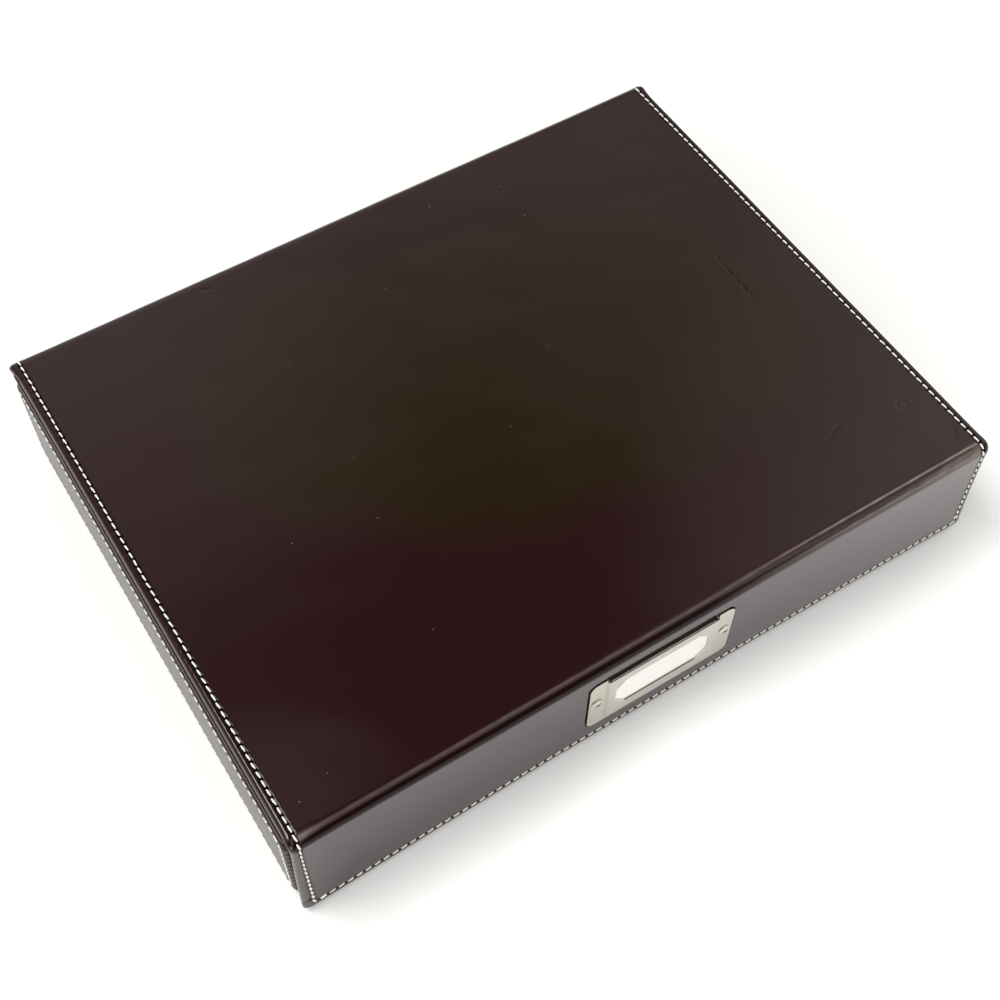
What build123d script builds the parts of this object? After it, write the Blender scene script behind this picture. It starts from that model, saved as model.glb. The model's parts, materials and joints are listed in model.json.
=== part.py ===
from build123d import *
import os
from math import pi, sqrt

# A low leather file box. A cover of one leather sheet over boards makes the spine, the lid and the
# front flap, with soft folds between them. The spine is glued to a tray of leather panels.
# Millimetres. X along the front, Y to the rear, Z up, table at Z = 0.

# Size of the closed box
cover_width = 331.4
box_depth = 258.3
box_height = 63.0
flap_lift = 2.2
side_stand = 1.6
flap_spread = 2.2

# Cover: leather, boards and linings
cover_skin = 1.2
cover_board = 2.2
turn_in_skin = 0.6
turn_in_width = 12.0
cover_corner = 4.0
least_corner = 0.5
pared_edge = 1.0
lining_pared = 0.6
lid_liner = 1.6
lining_skin = 1.0
lining_stand = 1.2
lining_corner = 2.0
flap_lining_skin = 1.6
flap_lining_inset = 1.0

# Folds: outer radius of the leather, and the strip of lining behind it
fold_radius = 4.9
fold_lining = 1.0

# Tray: panels, linings and corners
wall_board = 2.8
base_board_thickness = 3.0
base_skin = 1.2
felt = 1.2
wall_top_corner = 8.0
wall_foot_corner = 2.5
front_edge_round = 0.9

# Clearances
flap_gap = 0.5
lid_gap = 0.3
leaf_gap = 0.6
flap_lining_drop = 0.4
spine_gap = 0.2
round_gap = 0.01
fit_gap = 0.1
magnet_hem_gap = 3.0
same_place = 0.01

# Magnets
magnet_radius = 6.0
magnet_thickness = 1.4
magnet_spread = 120.0

# Label holder: stamped frame, card and screws
frame_width = 70.0
frame_height = 35.5
frame_drop = 29.2
frame_metal = 0.5
frame_shift = 1.5
frame_rise = 0.9
frame_corner = 4.0
pocket_width = 54.0
pocket_foot = 3.5
pocket_wall = 1.2
bend_slope = 0.85
slot_cut = 1.7
slot_round = 0.8
window_width = 45.0
window_height = 19.0
window_corner = 5.0
window_lift = 1.2
window_bevel = 0.35
card_thickness = 0.35
card_stand = 0.45
card_below_slot = 1.0
card_side_gap = 0.5
screw_spread = 31.2
screw_lift = 1.7
screw_head_radius = 2.7
screw_head_height = 1.1
screw_head_rim = 0.37
screw_shank_radius = 1.1
screw_tip_radius = 0.45
screw_tip_length = 1.3
screw_length = 3.0
screw_hole_gap = 0.2
pilot_gap = 0.05
recess_length = 3.0
recess_width = 0.6
recess_depth = 0.55
recess_turn = 20.0

# Worked out from the sizes above
cover_leaf = cover_skin + cover_board
lid_leaf = lid_liner + lining_skin
lid_thickness = cover_leaf + lid_leaf
flap_thickness = cover_leaf + flap_lining_skin
holder_stand = max(frame_metal + screw_head_height, frame_metal + frame_rise)
front_y = holder_stand - (box_depth + holder_stand) / 2
rear_y = front_y + box_depth
half_cover = cover_width / 2
half_tray = half_cover + side_stand
side_leaf = cover_skin + wall_board
inner_x = half_tray - side_leaf
tray_front_y = front_y + flap_thickness + flap_gap
tray_rear_y = rear_y - cover_leaf
wall_top = box_height - lid_thickness - lid_gap
front_board_y = tray_front_y + cover_skin
front_lining_y = front_board_y + wall_board
back_board_y = tray_rear_y - wall_board
back_lining_y = back_board_y - lining_skin
floor_z = base_skin + base_board_thickness
lining_z = floor_z + felt
fold_top = box_height - fold_radius
frame_z = box_height - frame_drop
magnet_height = flap_lift + turn_in_width + magnet_hem_gap + magnet_radius

# The fold turns about a line near its outer corner, where its middle keeps its length
fold_axis_inset = fold_radius - (fold_radius - (cover_skin + fold_lining) / 2) * pi / 4


def block(x0, x1, y0, y1, z0, z1):
    """A square-edged solid between two corners."""
    middle = Pos((x0 + x1) / 2, (y0 + y1) / 2, (z0 + z1) / 2)
    return middle * Box(x1 - x0, y1 - y0, z1 - z0)


def panel_face(width, foot, top, foot_round, top_round):
    """A flat outline, centred across, from foot to top, with rounded corners."""
    face = Pos(0, (foot + top) / 2) * Rectangle(width, top - foot)
    if foot_round > 0:
        face = fillet(face.vertices().group_by(Axis.Y)[0], foot_round)
    if top_round > 0:
        face = fillet(face.vertices().group_by(Axis.Y)[-1], top_round)
    return face


def hanging_face(spread, foot, inset):
    """The outline of a panel that hangs from a fold and widens by spread at each side."""
    half_top = half_cover - inset
    half_foot = half_cover + spread - inset
    right = (half_top, fold_top), (half_foot, foot + inset)
    left = (-half_foot, foot + inset), (-half_top, fold_top)
    face = make_face(Polyline(*right, *left, close=True))
    corner = max(cover_corner - inset, least_corner)
    return fillet(face.vertices().group_by(Axis.Y)[0], corner)


def rim_edges(leaf, plane, depth, plain_ends):
    """Edges round a leaf's face at that depth, without those of the ends that meet a fold."""
    rim = []
    for edge in leaf.edges():
        middle = plane.to_local_coords(edge.center())
        on_fold = any(abs(middle.Y - end) < same_place for end in plain_ends)
        if abs(middle.Z - depth) < same_place and not on_fold:
            rim.append(edge)
    return rim


def turned_edge(leaf, plane, thickness, pared, plain_ends=()):
    """Rounds a leaf's outer rim, where the leather turns over, and pares its inner rim."""
    leaf = fillet(rim_edges(leaf, plane, 0, plain_ends), thickness / 2)
    return chamfer(rim_edges(leaf, plane, thickness, plain_ends), pared)


def wrapped_panel(plane, outline, thickness, plain_ends=()):
    """Leather turned round a board. The outline is a function of how far it is inset, and the
    plane lies on the outer face and looks inwards. Gives the leather and the board."""
    leaf = extrude(plane * outline(0), thickness)
    leaf = turned_edge(leaf, plane, thickness, pared_edge, plain_ends)
    under_skin = plane.offset(cover_skin)
    board = extrude(under_skin * outline(cover_skin), thickness - cover_skin - turn_in_skin)
    board += extrude(under_skin * outline(turn_in_width), thickness - cover_skin)
    return leaf - board, board


def lid_plane():
    return Plane((0, 0, box_height), x_dir=(1, 0, 0), z_dir=(0, 0, -1))


def flap_plane():
    return Plane((0, front_y, 0), x_dir=(-1, 0, 0), z_dir=(0, 1, 0))


def spine_plane():
    return Plane((0, rear_y, 0), x_dir=(1, 0, 0), z_dir=(0, -1, 0))


def lid_cover():
    """The lid's upper leaf, plain at both folds."""
    front_end = -(front_y + fold_radius)
    rear_end = -(rear_y - fold_radius)

    def outline(inset):
        return panel_face(cover_width - 2 * inset, rear_end, front_end, 0, 0)

    return wrapped_panel(lid_plane(), outline, cover_leaf, (front_end, rear_end))


def hanging_cover(plane, foot, spread):
    """A panel that hangs from a fold: the flap or the spine, with rounded lower corners."""

    def outline(inset):
        return hanging_face(spread, foot, inset)

    return wrapped_panel(plane, outline, cover_leaf, (fold_top,))


def fold(centre_y, start_angle, depth, thickness):
    """A strip bent a quarter turn round a fold, with the lid's rounded side edges."""
    leaf = RectangleRounded(cover_width, cover_leaf, cover_leaf / 2 - round_gap)
    leaf = Pos(0, fold_radius - cover_leaf / 2) * leaf
    layer = Pos(0, fold_radius - depth - thickness / 2) * Rectangle(cover_width, thickness)
    section = Plane((0, centre_y, fold_top), x_dir=(1, 0, 0), z_dir=(0, -1, 0)) * (leaf & layer)
    axis = Axis((0, centre_y, fold_top), (1, 0, 0))
    strip = revolve(section, axis, 90)
    return strip.rotate(axis, start_angle)


def lid_lining_leaf():
    """The lid's lower leaf: a liner board in a lining that is turned up round its edges."""
    plane = Plane((0, 0, box_height - lid_thickness), x_dir=(1, 0, 0), z_dir=(0, 0, 1))
    front_end = front_y + flap_thickness + leaf_gap
    rear_end = tray_rear_y - leaf_gap
    width = cover_width + 2 * lining_stand

    def outline(inset):
        corner = max(lining_corner - inset, least_corner)
        return panel_face(width - 2 * inset, front_end + inset, rear_end - inset, corner, corner)

    leaf = extrude(plane * outline(0), lid_leaf)
    leaf = turned_edge(leaf, plane, lid_leaf, lining_pared)
    board = extrude(plane.offset(lining_skin) * outline(lining_skin + fit_gap), lid_liner)
    return leaf - board, board


def flap_lining():
    """The flap's inner leaf, a single leather with pared edges."""
    plane = flap_plane().offset(cover_leaf)
    foot = flap_lift + flap_lining_inset
    top = box_height - lid_thickness - flap_lining_drop
    width = cover_width - 2 * flap_lining_inset
    face = panel_face(width, foot, top, cover_corner - flap_lining_inset, lining_corner)
    leaf = extrude(plane * face, flap_lining_skin)
    inner_face = leaf.faces().sort_by(Axis.Y)[-1]
    return chamfer(inner_face.edges(), lining_pared)


def side_panel(sign):
    """A side of the tray: leather turned round a board on all four edges."""
    middle_y = (tray_front_y + tray_rear_y - spine_gap) / 2
    length = tray_rear_y - spine_gap - tray_front_y
    plane = Plane((sign * half_tray, middle_y, 0), x_dir=(0, -sign, 0), z_dir=(-sign, 0, 0))

    def outline(inset):
        foot_round = max(wall_foot_corner - inset, least_corner)
        top_round = max(wall_top_corner - inset, least_corner)
        return panel_face(length - 2 * inset, inset, wall_top - inset, foot_round, top_round)

    return wrapped_panel(plane, outline, side_leaf)


def side_lining(sign):
    top = wall_top - cover_skin
    x0 = sign * inner_x
    x1 = sign * (inner_x - lining_skin)
    y0 = front_lining_y + lining_skin
    leaf = block(min(x0, x1), max(x0, x1), y0, back_lining_y, lining_z, top)
    ends = leaf.edges().filter_by(Axis.X).group_by(Axis.Z)[-1]
    return fillet(ends, wall_top_corner)


def front_wall():
    """The tray's front: leather up the face and over the top edge, a board, and the lining."""
    leather = block(-inner_x, inner_x, tray_front_y, front_lining_y, 0, wall_top)
    top_front = leather.edges().filter_by(Axis.X).group_by(Axis.Z)[-1].sort_by(Axis.Y)
    leather = fillet(top_front, front_edge_round)
    board_top = wall_top - cover_skin
    leather -= block(-inner_x, inner_x, front_board_y, front_lining_y, 0, board_top)
    board = block(-inner_x, inner_x, front_board_y, front_lining_y, floor_z, board_top)
    lining_back = front_lining_y + lining_skin
    lining = block(-inner_x, inner_x, front_lining_y, lining_back, lining_z, board_top)
    board -= magnet_discs(front_board_y, fit_gap)
    return leather, board, lining


def back_wall():
    """The tray's back: a board behind the spine, and a lining up its face and over its edge."""
    board_top = wall_top - lining_skin
    board = block(-inner_x, inner_x, back_board_y, tray_rear_y, floor_z, board_top)
    lining = block(-inner_x, inner_x, back_lining_y, tray_rear_y, lining_z, wall_top)
    top_inner = lining.edges().filter_by(Axis.X).group_by(Axis.Z)[-1].sort_by(Axis.Y)[0]
    lining = fillet(top_inner, lining_skin / 2)
    lining -= block(-inner_x, inner_x, back_board_y, tray_rear_y, lining_z, board_top)
    return board, lining


def base():
    """The tray's bottom: leather underneath, a board, and felt between the wall boards."""
    leather = block(-inner_x, inner_x, front_board_y, tray_rear_y, 0, base_skin)
    board = block(-inner_x, inner_x, front_board_y, tray_rear_y, base_skin, floor_z)
    lining = block(-inner_x, inner_x, front_lining_y, back_board_y, floor_z, lining_z)
    return leather, board, lining


def magnet_discs(face_y, gap):
    """Two discs let into a board from the face at face_y towards the rear, or holes for them."""
    disc = Cylinder(magnet_radius + gap, magnet_thickness)
    discs = []
    for x in (-magnet_spread, magnet_spread):
        place = Pos(x, face_y + magnet_thickness / 2, magnet_height)
        discs.append(place * Rot(X=90) * disc)
    return discs[0] + discs[1]


def holder_plane():
    """Lies on the flap's face at the middle of the label holder and looks out of it."""
    return Plane((-frame_shift, front_y, frame_z), x_dir=(1, 0, 0), z_dir=(0, -1, 0))


def card_frame():
    """A stamped frame: flat ends with a screw hole each, and a raised middle that makes a pocket
    for the card, open at the top, where its edge is cut lower than the ends."""
    half_height = frame_height / 2
    slot_top = half_height - slot_cut
    pocket_bottom = pocket_foot - half_height
    plate = RectangleRounded(frame_width, frame_height, frame_corner)
    plate -= Pos(0, half_height) * Rectangle(pocket_width, 2 * slot_cut)
    notch = []
    for corner in plate.vertices():
        if abs(abs(corner.X) - pocket_width / 2) < same_place:
            notch.append(corner)
    plate = fillet(notch, slot_round)
    rise_height = slot_top - pocket_bottom
    rise_middle = Pos(0, (slot_top + pocket_bottom) / 2)
    rise = extrude(rise_middle * Rectangle(pocket_width, rise_height), frame_metal + frame_rise)
    front_rim = rise.faces().sort_by(Axis.Z)[-1].edges()
    slopes = front_rim.filter_by(Axis.Y) + [front_rim.sort_by(Axis.Y)[0]]
    rise = chamfer(slopes, bend_slope)
    frame = extrude(plate, frame_metal) + rise
    pocket_height = rise_height - pocket_wall
    pocket = Pos(0, slot_top - pocket_height / 2) * Rectangle(pocket_width - 2 * pocket_wall, pocket_height)
    frame -= extrude(pocket, frame_rise)
    frame -= window(frame_metal + frame_rise)
    for x in (-screw_spread, screw_spread):
        frame -= Pos(x, screw_lift) * Cylinder(screw_shank_radius + screw_hole_gap, 4 * frame_metal)
    return holder_plane() * frame


def window(depth):
    """The frame's window with cut corners, bevelled at the front."""
    opening = Pos(0, window_lift) * Rectangle(window_width, window_height)
    opening = chamfer(opening.vertices(), window_corner)
    hole = extrude(opening, depth)
    bevel_foot = Pos(0, 0, depth - window_bevel) * opening
    bevel = extrude(bevel_foot, 2 * window_bevel, taper=-45)
    return hole + bevel


def label_card():
    half_height = frame_height / 2
    foot = pocket_foot - half_height + pocket_wall + fit_gap
    top = half_height - slot_cut - card_below_slot
    width = pocket_width - 2 * pocket_wall - 2 * card_side_gap
    face = Pos(0, (foot + top) / 2, card_stand) * Rectangle(width, top - foot)
    return holder_plane() * extrude(face, card_thickness)


def frame_screws():
    """Two domed screws with a cross recess."""
    outline = Polyline(
        (0, -screw_length),
        (screw_tip_radius, -screw_length),
        (screw_shank_radius, screw_tip_length - screw_length),
        (screw_shank_radius, 0),
        (screw_head_radius, 0),
        (screw_head_radius, screw_head_rim),
    )
    dome_rise = screw_head_height - screw_head_rim
    dome_radius = (screw_head_radius**2 + dome_rise**2) / (2 * dome_rise)
    dome_centre = screw_head_height - dome_radius
    halfway = screw_head_radius / 2
    dome = ThreePointArc(
        (screw_head_radius, screw_head_rim),
        (halfway, dome_centre + sqrt(dome_radius**2 - halfway**2)),
        (0, screw_head_height),
    )
    stem = Line((0, screw_head_height), (0, -screw_length))
    screw = revolve(Plane.XZ * make_face([outline, dome, stem]), Axis.Z)
    for turn in (recess_turn, recess_turn + 90):
        slot = Box(recess_length, recess_width, 2 * recess_depth)
        screw -= Pos(0, 0, screw_head_height) * Rot(Z=turn) * slot
    places = []
    for x in (-screw_spread, screw_spread):
        places.append(holder_plane() * Pos(x, screw_lift, frame_metal) * screw)
    return places[0] + places[1]


def pilot_holes(gap):
    """Where the frame's screws pass the flap's leather and board."""
    hole = Cylinder(screw_shank_radius + gap, 4 * screw_length)
    left = holder_plane() * Pos(-screw_spread, screw_lift) * hole
    right = holder_plane() * Pos(screw_spread, screw_lift) * hole
    depth = screw_length - frame_metal + fit_gap
    reach = block(-half_cover, half_cover, front_y, front_y + depth, 0, box_height)
    return (left + right) & reach


def save(name, shape):
    """Write one sub-part, and say how many solids it has."""
    shape.label = name
    export_step(shape, f"parts/{name}.step")
    print(name, len(shape.solids()))


os.makedirs("parts", exist_ok=True)

lid_leather, lid_board = lid_cover()
lid_lining, lid_liner_board = lid_lining_leaf()
save("lid_leather", lid_leather)
save("lid_board", lid_board)
save("lid_lining", lid_lining)
save("lid_liner_board", lid_liner_board)

flap_leather, flap_board = hanging_cover(flap_plane(), flap_lift, flap_spread)
flap_magnet_face = front_y + cover_leaf - magnet_thickness
flap_board -= magnet_discs(flap_magnet_face, fit_gap)
save("flap_leather", flap_leather - pilot_holes(pilot_gap))
save("flap_board", flap_board - pilot_holes(pilot_gap))
save("flap_lining", flap_lining())
save("flap_magnets", magnet_discs(flap_magnet_face, 0))

spine_leather, spine_board = hanging_cover(spine_plane(), 0, 0)
save("spine_leather", spine_leather)
save("spine_board", spine_board)

front_fold_y = front_y + fold_radius
rear_fold_y = rear_y - fold_radius
save("front_fold_leather", fold(front_fold_y, 0, 0, cover_skin))
save("front_fold_lining", fold(front_fold_y, 0, cover_skin, fold_lining))
save("rear_fold_leather", fold(rear_fold_y, -90, 0, cover_skin))
save("rear_fold_lining", fold(rear_fold_y, -90, cover_skin, fold_lining))

for side, sign in (("left", -1), ("right", 1)):
    wall_leather, side_board = side_panel(sign)
    save(f"{side}_wall_leather", wall_leather)
    save(f"{side}_wall_board", side_board)
    save(f"{side}_wall_lining", side_lining(sign))

front_leather, front_board, front_lining = front_wall()
back_board, back_lining = back_wall()
base_leather, base_board, floor_lining = base()
save("front_wall_leather", front_leather)
save("front_wall_board", front_board)
save("front_wall_lining", front_lining)
save("back_wall_board", back_board)
save("back_wall_lining", back_lining)
save("base_leather", base_leather)
save("base_board", base_board)
save("floor_lining", floor_lining)
save("tray_magnets", magnet_discs(front_board_y, 0))

save("card_frame", card_frame())
save("card_frame_screws", frame_screws())
save("label_card", label_card())

print("front fold axis y, z", front_y + fold_axis_inset, box_height - fold_axis_inset)
print("rear fold axis y, z", rear_y - fold_axis_inset, box_height - fold_axis_inset)
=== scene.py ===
# %% [markdown]
# # A stitched leather file box
#
# The box is a low tray with a cover over it. The cover is one sheet of dark brown leather that runs
# up the back, over the lid and down the front as a flap, with a soft fold at the rear and another
# at the front. Pale thread is sewn round every panel, and a small nickel frame on the flap holds a
# paper card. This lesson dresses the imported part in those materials.
#
# The pieces are measured in millimetres until a mesh is made of them; the camera, the lamps and the
# table are in metres. The frame is loaded first, and the sizes of the pieces are read from it, so
# that the looks follow the part.

# %% Load the frame
import json
from math import atan2, ceil, pi

import bpy
import numpy as np
from mathutils import Matrix, Vector


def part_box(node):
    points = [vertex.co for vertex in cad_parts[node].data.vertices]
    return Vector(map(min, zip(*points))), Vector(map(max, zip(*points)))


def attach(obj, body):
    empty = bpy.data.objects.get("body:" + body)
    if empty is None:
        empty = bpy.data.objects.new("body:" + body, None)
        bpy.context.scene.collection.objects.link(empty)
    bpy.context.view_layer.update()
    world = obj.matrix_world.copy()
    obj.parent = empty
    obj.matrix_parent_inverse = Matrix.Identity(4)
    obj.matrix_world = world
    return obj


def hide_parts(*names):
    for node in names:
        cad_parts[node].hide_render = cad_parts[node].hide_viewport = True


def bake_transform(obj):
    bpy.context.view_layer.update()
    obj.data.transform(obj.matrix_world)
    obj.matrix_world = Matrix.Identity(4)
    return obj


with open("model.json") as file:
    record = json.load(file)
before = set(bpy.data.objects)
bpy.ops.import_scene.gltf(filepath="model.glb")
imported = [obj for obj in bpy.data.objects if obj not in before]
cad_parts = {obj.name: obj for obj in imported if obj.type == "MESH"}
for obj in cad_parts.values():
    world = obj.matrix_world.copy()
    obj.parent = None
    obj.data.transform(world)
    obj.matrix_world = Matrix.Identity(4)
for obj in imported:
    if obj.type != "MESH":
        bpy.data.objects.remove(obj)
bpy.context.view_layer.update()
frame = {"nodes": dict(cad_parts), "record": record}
MM = 0.001

# %% [markdown]
# Each panel's place comes from the box round its own node. A helper turns it to millimetres.

# %% Sizes from the frame
def box_mm(node):
    low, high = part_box(node)
    return np.array(low) / MM, np.array(high) / MM


lid_low, lid_high = box_mm("lid_leather")
flap_low, flap_high = box_mm("flap_leather")
spine_low, spine_high = box_mm("spine_leather")

half_width = lid_high[0]
cover_thick = lid_high[2] - lid_low[2]
fold_radius = lid_high[2] - flap_high[2]
fold_length = fold_radius * pi / 2
print("cover leaf", round(cover_thick, 2), "mm, fold radius", round(fold_radius, 2), "mm")

# %% [markdown]
# Leather has no hard steps: a crease, a swell and a worn patch all fade into the flat face. Two
# curves draw all of them below. One slopes evenly from 0 to 1 between two places, and the other is
# a bell that is 1 high in the middle.

# %% Soft curves
def rise(x, start, end):
    """0 at the start and 1 at the end, level beyond them. The end may lie before the start."""
    return np.clip((x - start) / (end - start), 0, 1)


def bell(x, middle, width):
    """1 at the middle, and 0.37 one width away to either side."""
    return np.exp(-(((x - middle) / width) ** 2))


print("a bell one width from its middle:", round(float(bell(1, 0, 1)), 2))

# %% [markdown]
# The cover is one sheet, so it gets one pair of coordinates: across is the place along the width,
# and run is the way along the leather, from the foot of the spine, over the rear fold, the lid and
# the front fold, to the foot of the flap. Stitches and ripples are then laid out once on the flat
# sheet, as the maker does before folding it, and they cross from panel to panel without a break.
#
# The sheet isn't stiff. Its margins splay a little where it turns over a fold, and the flap stands
# off towards its lower corners.

# %% The cover as one sheet
spine_end = spine_high[2] - spine_low[2]
lid_start = spine_end + fold_length
lid_end = lid_start + lid_high[1] - lid_low[1]
flap_start = lid_end + fold_length
sheet_end = flap_start + flap_high[2] - flap_low[2]

COVER_MARGIN = 3.5
REAR_SPLAY, REAR_SPLAY_RUN = 1.3, 7.0
FRONT_SPLAY, FRONT_SPLAY_RUN = 0.5, 6.0
FLAT_REACH = 55.0
LEFT_FLARE = 1.7
RIGHT_FLARE = 1.0
FOOT_BOW = 0.3


def foot_flare(across, share):
    """How far the flap stands off, in mm, at a share of the way down it. It is flat behind the
    frame and stands off most at its lower corners."""
    to_left, to_right = rise(-across, FLAT_REACH, half_width), rise(across, FLAT_REACH, half_width)
    corners = LEFT_FLARE * to_left**1.5 + RIGHT_FLARE * to_right**1.5
    return share**2 * (corners + FOOT_BOW * (to_left + to_right) ** 0.5)


def margin_widening(across, run):
    """How far the margin outside the thread is stretched sideways, in mm."""
    beyond = rise(np.abs(across), half_width - COVER_MARGIN, half_width)
    splay = REAR_SPLAY * bell(run, spine_end + fold_length / 2, REAR_SPLAY_RUN)
    splay += FRONT_SPLAY * bell(run, lid_end + fold_length / 2, FRONT_SPLAY_RUN)
    splay += (flap_high[0] - half_width) * rise(run, flap_start, sheet_end)
    return np.sign(across) * beyond * splay


def cover_place(across, run, depth):
    """Where a point of the sheet lies, depth millimetres under the leather's outer face."""
    rear_turn = np.clip((run - spine_end) / fold_radius, 0, pi / 2)
    front_turn = np.clip((run - lid_end) / fold_radius, 0, pi / 2)
    reach = fold_radius - depth
    on_spine = run < spine_end
    on_flap = run > flap_start
    on_lid = (run > lid_start) & (run < lid_end)
    y_rear = lid_high[1] + reach * np.cos(rear_turn)
    z_rear = spine_high[2] + reach * np.sin(rear_turn)
    y_front = lid_low[1] - reach * np.sin(front_turn)
    z_front = flap_high[2] + reach * np.cos(front_turn)
    y = np.where(run < lid_start, y_rear, y_front)
    z = np.where(run < lid_start, z_rear, z_front)
    y = np.where(on_lid, lid_high[1] - (run - lid_start), y)
    z = np.where(on_lid, lid_high[2] - depth, z)
    z = np.where(on_spine, spine_low[2] + run, z)
    z = np.where(on_flap, flap_high[2] - (run - flap_start), z)
    y = y - foot_flare(across, rise(run, flap_start, sheet_end))
    return np.stack([across + margin_widening(across, run), y, z], axis=-1)


print("sheet", round(2 * half_width), "x", round(sheet_end), "mm")

# %% [markdown]
# The thread follows a line a few millimetres in from the edge of each leaf. The line is a
# rectangle with small round corners, kept as short straight pieces. Any point of a leaf then knows
# how far it is from the line and how far along the line its nearest stitch is. On the flap the line
# steps out a little, as the flap is wider than the lid.

# %% Stitch lines
PITCH = 4.06
FOOT_MARGIN = 4.4
FLAP_STEP = 0.4


def stitch_line(left, right, foot, head, corner, bend=()):
    """A closed line with round corners, and the length along it at each of its points. A bend
    is a place where the line steps out sideways: its start, its end and how far."""
    points = []
    out = bend[2] if bend else 0.0
    centres = [
        (right - corner, foot + corner, -pi / 2),
        (right + out - corner, head - corner, 0.0),
        (left - out + corner, head - corner, pi / 2),
        (left + corner, foot + corner, pi),
    ]
    for centre_a, centre_b, start in centres:
        if bend and start == 0.0:
            points += [(right, bend[0]), (right + out, bend[1])]
        for step in np.linspace(0, pi / 2, 7):
            angle = start + step
            points.append((centre_a + corner * np.cos(angle), centre_b + corner * np.sin(angle)))
        if bend and start == pi / 2:
            points += [(left - out, bend[1]), (left, bend[0])]
    points.append(points[0])
    points = np.array(points)
    lengths = np.hypot(*np.diff(points, axis=0).T)
    return points, np.concatenate([[0], np.cumsum(lengths)])


def nearest_on_line(line, a, b):
    """For points (a, b), the distance from the line, and the length along it."""
    points, along = line
    best = np.full(a.shape, 1e9)
    where = np.zeros(a.shape)
    for k in range(len(points) - 1):
        start, step = points[k], points[k + 1] - points[k]
        length = np.hypot(*step)
        if length < 1e-6:
            continue
        share = ((a - start[0]) * step[0] + (b - start[1]) * step[1]) / length**2
        share = np.clip(share, 0, 1)
        away = np.hypot(a - start[0] - share * step[0], b - start[1] - share * step[1])
        closer = away < best
        best = np.where(closer, away, best)
        where = np.where(closer, along[k] + share * length, where)
    return best, where


def stitch_pitch(line):
    """The pitch that fits a whole number of stitches into the line."""
    return line[1][-1] / round(line[1][-1] / PITCH)


cover_line = stitch_line(
    COVER_MARGIN - half_width,
    half_width - COVER_MARGIN,
    COVER_MARGIN,
    sheet_end - FOOT_MARGIN,
    corner=1.2,
    bend=(lid_end, flap_start + 4, FLAP_STEP),
)
print("stitches round the cover:", round(cover_line[1][-1] / stitch_pitch(cover_line)))

# %% [markdown]
# Sewing shapes the leather. The thread pulls a shallow channel into the face, each needle hole is
# a small pit, and the edge outside the line is drawn in at the holes and so swells between them.
# The face also has slow ripples from the board and the glue under it. A bump in the shader would be
# enough for the grain, but these forms change the outline and catch long highlights, so they are
# real geometry: a height over the flat face.

# %% Relief of sewn leather
CHANNEL_DEPTH, CHANNEL_WIDTH = 0.22, 0.6
HOLE_DEPTH, HOLE_WIDTH = 0.45, 0.55
PUCKER, PUCKER_AT, PUCKER_WIDTH, PUCKER_LENGTH = 0.015, 1.6, 1.4, 1.1
PULL_LENGTH = 0.9
# Widths of the painted shade: a dark colour along the thread and round each needle hole.
SHADE_WIDTH, HOLE_SHADE_WIDTH = 0.75, 1.0


def from_stitching(line, a, b):
    """For points (a, b), the distance from the line and, along it, from the nearest needle hole."""
    away, where = nearest_on_line(line, a, b)
    pitch = stitch_pitch(line)
    return away, np.abs((where / pitch + 0.5) % 1 - 0.5) * pitch


def sewn_relief(line, a, b):
    """Height in mm over the flat face at points (a, b)."""
    away, from_hole = from_stitching(line, a, b)
    channel = CHANNEL_DEPTH * bell(away, 0, CHANNEL_WIDTH)
    hole = HOLE_DEPTH * bell(np.hypot(away, from_hole), 0, HOLE_WIDTH)
    pucker = PUCKER * bell(from_hole, 0, PUCKER_LENGTH) * bell(away, PUCKER_AT, PUCKER_WIDTH)
    low, high = line[0].min(axis=0), line[0].max(axis=0)
    outside = (a < low[0]) | (a > high[0]) | (b < low[1]) | (b > high[1])
    return -channel - hole - pucker * outside


def edge_pull(line, a, b, most):
    """How far the edge is drawn in at each hole, in mm."""
    _, from_hole = from_stitching(line, a, b)
    return most * bell(from_hole, 0, PULL_LENGTH)


def painted_stitch_shade(line, a, b):
    """Painted shade round the thread and in the needle holes, 0 to 1, for the shade that falls there.
    """
    away, from_hole = from_stitching(line, a, b)
    by_hole = bell(np.hypot(away, from_hole), 0, HOLE_SHADE_WIDTH)
    return np.clip(1.3 * bell(away, 0, SHADE_WIDTH) + by_hole, 0, 1)


def ripples(a, b, size, seed):
    """Slow waves of about unit height, from a few fixed sines in turned directions."""
    rng = np.random.default_rng(seed)
    total = np.zeros(a.shape)
    for _ in range(9):
        angle = rng.uniform(0, 2 * pi)
        wave = size * rng.uniform(0.6, 1.7)
        phase = rng.uniform(0, 2 * pi)
        total += np.sin((a * np.cos(angle) + b * np.sin(angle)) * 2 * pi / wave + phase)
    return total / 4


first_hole = [np.array([c]) for c in cover_line[0][0]]
print("relief at the first hole, mm:", round(float(sewn_relief(cover_line, *first_hole)[0]), 2))

# %% [markdown]
# A leaf is leather turned over the edge of a board, so its edge is round. It could be a solid with
# a bevel, but the stitches need a fine, even grid that a bevel would break. The face is therefore a
# grid of its own, finer near the thread, and the round edge is swept out from the grid's border and
# turned in underneath as a narrow hem.

# %% Grid of a leaf
FINE_BORDER = 6.5
COARSENING = 0.3


def grid_lines(low, high, fine, coarse, marked=()):
    """Values from low to high, close together near both ends and inside the marked stretches."""
    ticks = [low]
    while ticks[-1] < high - 1e-6:
        beyond = min(ticks[-1] - low, high - ticks[-1]) - FINE_BORDER
        for start, end in marked:
            beyond = min(beyond, max(start - ticks[-1], ticks[-1] - end))
        ticks.append(ticks[-1] + min(coarse, fine + max(beyond, 0) * COARSENING))
    ticks = np.array(ticks)
    return low + (ticks - low) * (high - low) / (ticks[-1] - low)


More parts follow.
